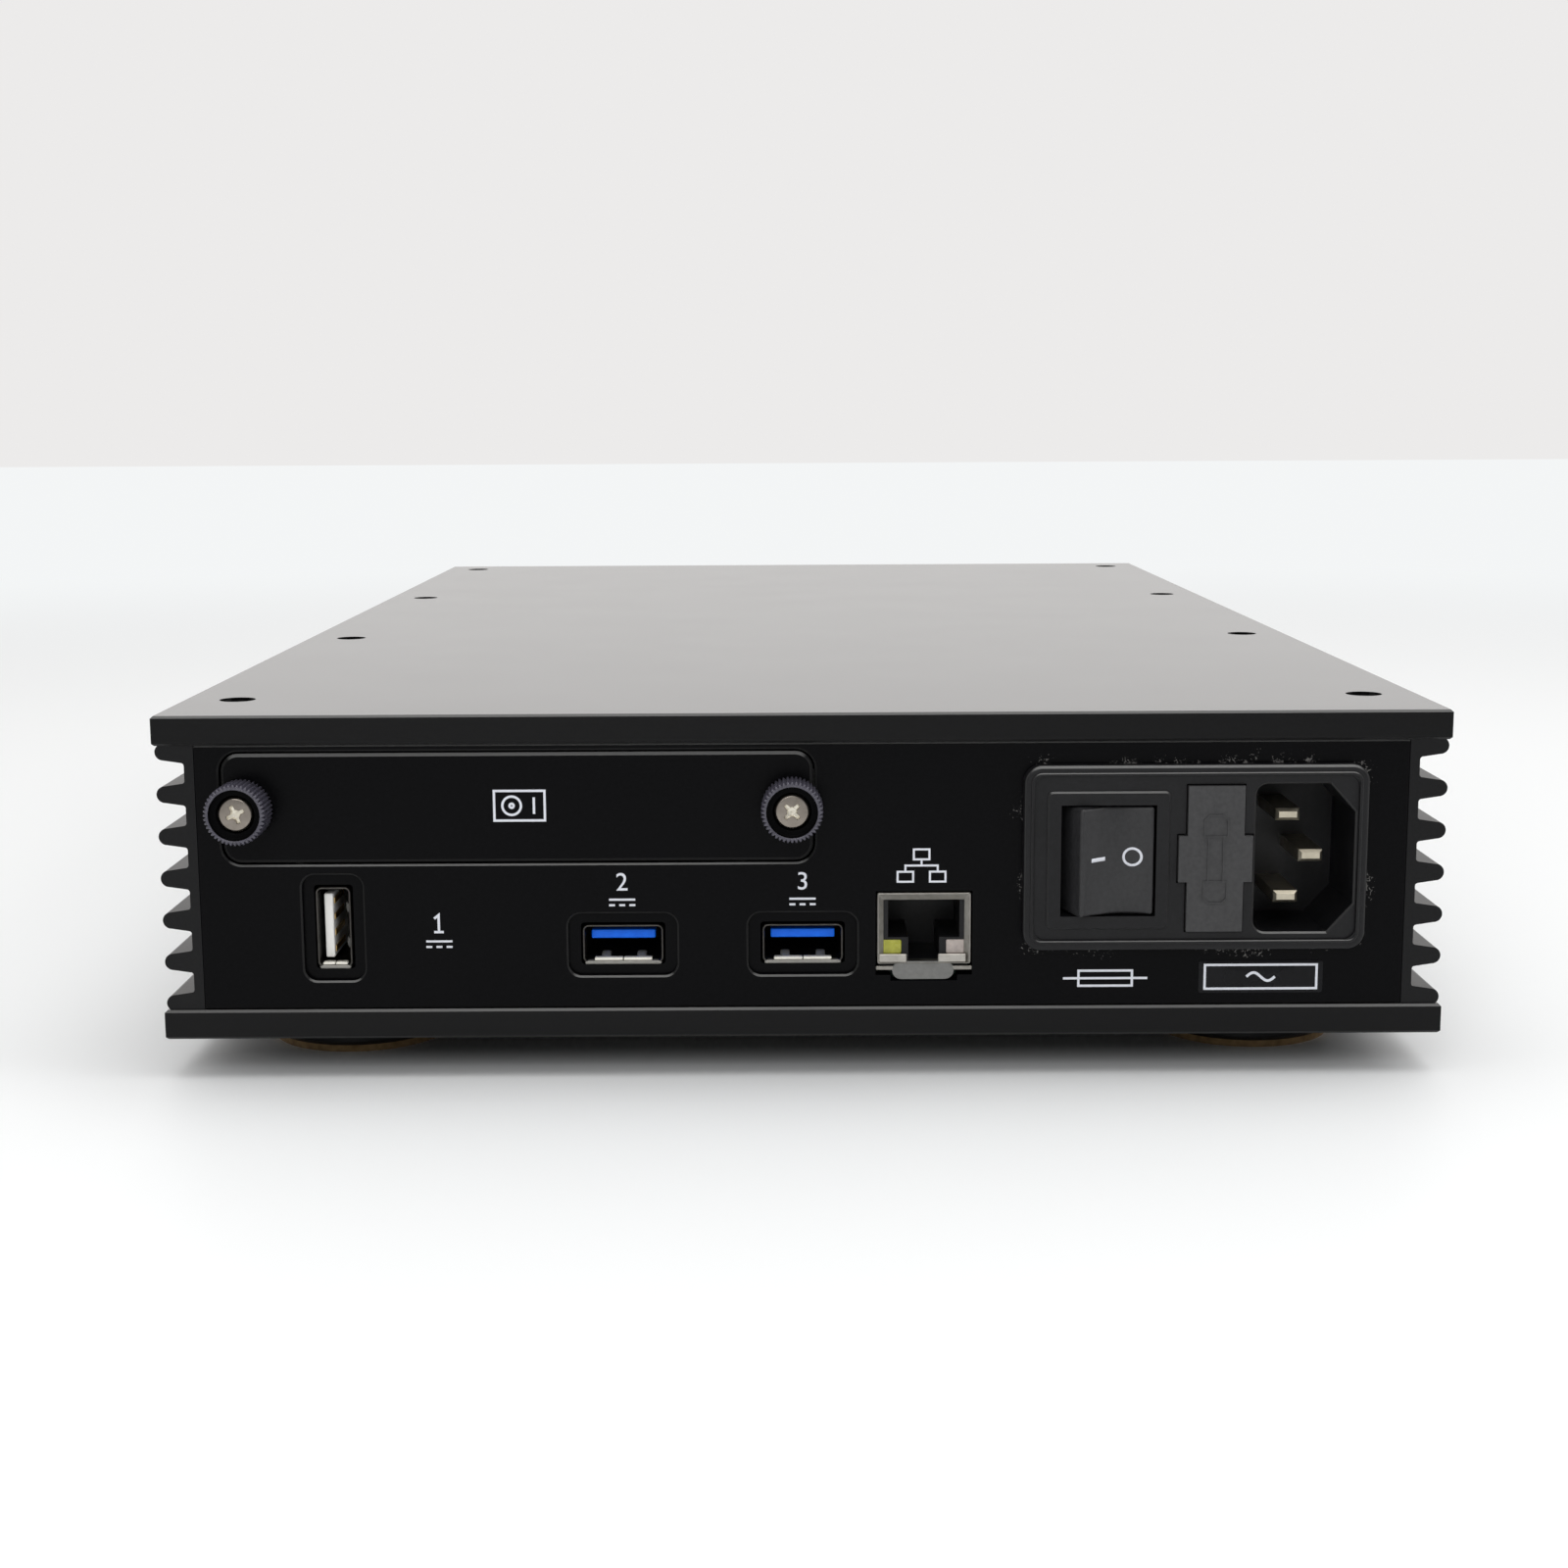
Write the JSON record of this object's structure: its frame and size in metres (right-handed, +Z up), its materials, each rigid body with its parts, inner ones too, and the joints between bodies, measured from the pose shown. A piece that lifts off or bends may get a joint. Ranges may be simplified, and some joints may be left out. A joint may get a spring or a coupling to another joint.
{
  "type": "music server",
  "caption": "Low finned aluminium music server with a pull-out drive, rear sockets and a switched mains inlet module.",
  "frame": {"origin": "middle of the object's box in plan, at the height of the foot pads' undersides", "axes": "+X to the right seen from the socket side, -Y out of the socket side, +Z up"},
  "size_m": [0.215, 0.3608, 0.062],
  "materials": {
    "black_anodised": "fine bead-blasted black anodised aluminium",
    "black_screw": "black oxide steel",
    "steel": "plain zinc-plated steel",
    "black_plastic": "moulded black plastic",
    "drawer_plastic": "dark grey moulded plastic",
    "rocker_plastic": "matt black rocker",
    "cork": "brown cork and rubber sheet",
    "nickel": "nickel-plated steel, satin",
    "gold": "gold-plated contacts",
    "pin_brass": "nickel-plated brass",
    "blue_plastic": "blue tongue",
    "white_plastic": "white tongue",
    "light_plastic": "clear and yellow-green light windows",
    "glass": "clear glass",
    "dark_glass": "black glass window, opaque when dark",
    "circuit_board": "green solder mask",
    "raw_aluminium": "plain aluminium",
    "copper": "copper",
    "sheet_steel": "zinc-plated sheet",
    "chip": "moulded chip",
    "capacitor": "dark blue sleeve",
    "winding_wrap": "amber film wrap",
    "lead": "insulated wire"
  },
  "bodies": {
    "chassis": {"lid_plate": "black_anodised", "base_plate": "black_anodised", "side_fins_right": "black_anodised", "side_fins_left": "black_anodised", "rear_panel": "black_anodised", "front_panel": "black_anodised", "lid_screws": "black_screw", "base_screws": "black_screw", "foot_bodies": "black_anodised", "foot_pads": "cork", "backplane_board": "circuit_board", "drive_bay": "sheet_steel", "usb_shells": "nickel", "usb_cores": "blue_plastic", "audio_shell": "nickel", "audio_core": "white_plastic", "socket_contacts": "gold", "network_shield": "nickel", "network_insert": "black_plastic", "network_lights": "light_plastic", "inlet_housing": "black_plastic", "inlet_pins": "pin_brass", "display_window": "dark_glass", "display_panel": "chip", "control_board": "circuit_board", "push_switches": "chip", "mainboard": "circuit_board", "supply_board": "circuit_board", "board_standoffs": "steel", "board_screws": "steel", "processor": "chip", "heat_blocks": "raw_aluminium", "heat_pipes": "copper", "memory_module": "circuit_board", "supply_capacitors": "capacitor", "supply_regulators": "chip", "transformer": "winding_wrap", "transformer_clamp": "steel", "inside_leads": "lead", "board_headers": "black_plastic"},
    "tray": {"drive_door": "black_anodised", "drive_tray": "sheet_steel", "tray_screws": "steel", "drive": "raw_aluminium"},
    "clip_left": {"thumb_clip_left": "steel"},
    "thumbscrew_left": {"thumb_cap_left": "black_anodised", "thumb_screw_left": "steel"},
    "clip_right": {"thumb_clip_right": "steel"},
    "thumbscrew_right": {"thumb_cap_right": "black_anodised", "thumb_screw_right": "steel"},
    "rocker": {"power_rocker": "rocker_plastic"},
    "drawer": {"fuse_drawer": "drawer_plastic", "fuse_glass": "glass", "fuse_caps": "nickel"},
    "power_button": {"power_button": "black_anodised"},
    "control_button_1": {"control_button_1": "black_anodised"},
    "control_button_2": {"control_button_2": "black_anodised"},
    "control_button_3": {"control_button_3": "black_anodised"},
    "control_button_4": {"control_button_4": "black_anodised"}
  },
  "joints": [
    {"name": "tray_slide", "type": "slide", "parent": "chassis", "child": "tray", "axis": [0, -1, 0], "range_m": [0, 0.09]},
    {"name": "clip_left_slide", "type": "slide", "parent": "tray", "child": "clip_left", "axis": [0, -1, 0], "range_m": [0, 0.004]},
    {"name": "thumbscrew_left_turn", "type": "hinge", "parent": "clip_left", "child": "thumbscrew_left", "pos_m": [-0.093, -0.1768, 0.0463], "axis": [0, -1, 0], "range_deg": [0, 2880]},
    {"name": "clip_right_slide", "type": "slide", "parent": "tray", "child": "clip_right", "axis": [0, -1, 0], "range_m": [0, 0.004]},
    {"name": "thumbscrew_right_turn", "type": "hinge", "parent": "clip_right", "child": "thumbscrew_right", "pos_m": [-0.0017, -0.1768, 0.0463], "axis": [0, -1, 0], "range_deg": [0, 2880]},
    {"name": "rocker_tip", "type": "hinge", "parent": "chassis", "child": "rocker", "pos_m": [0.0508, -0.1705, 0.0371], "axis": [0, 0, -1], "range_deg": [0, 22]},
    {"name": "drawer_slide", "type": "slide", "parent": "chassis", "child": "drawer", "axis": [0, -1, 0], "range_m": [0, 0.016]},
    {"name": "power_button_press", "type": "slide", "parent": "chassis", "child": "power_button", "axis": [0, -1, 0], "range_m": [0, 0.0012], "stiffness_N_per_m": 600},
    {"name": "control_button_1_press", "type": "slide", "parent": "chassis", "child": "control_button_1", "axis": [0, -1, 0], "range_m": [0, 0.0012], "stiffness_N_per_m": 600},
    {"name": "control_button_2_press", "type": "slide", "parent": "chassis", "child": "control_button_2", "axis": [0, -1, 0], "range_m": [0, 0.0012], "stiffness_N_per_m": 600},
    {"name": "control_button_3_press", "type": "slide", "parent": "chassis", "child": "control_button_3", "axis": [0, -1, 0], "range_m": [0, 0.0012], "stiffness_N_per_m": 600},
    {"name": "control_button_4_press", "type": "slide", "parent": "chassis", "child": "control_button_4", "axis": [0, -1, 0], "range_m": [0, 0.0012], "stiffness_N_per_m": 600}
  ]
}
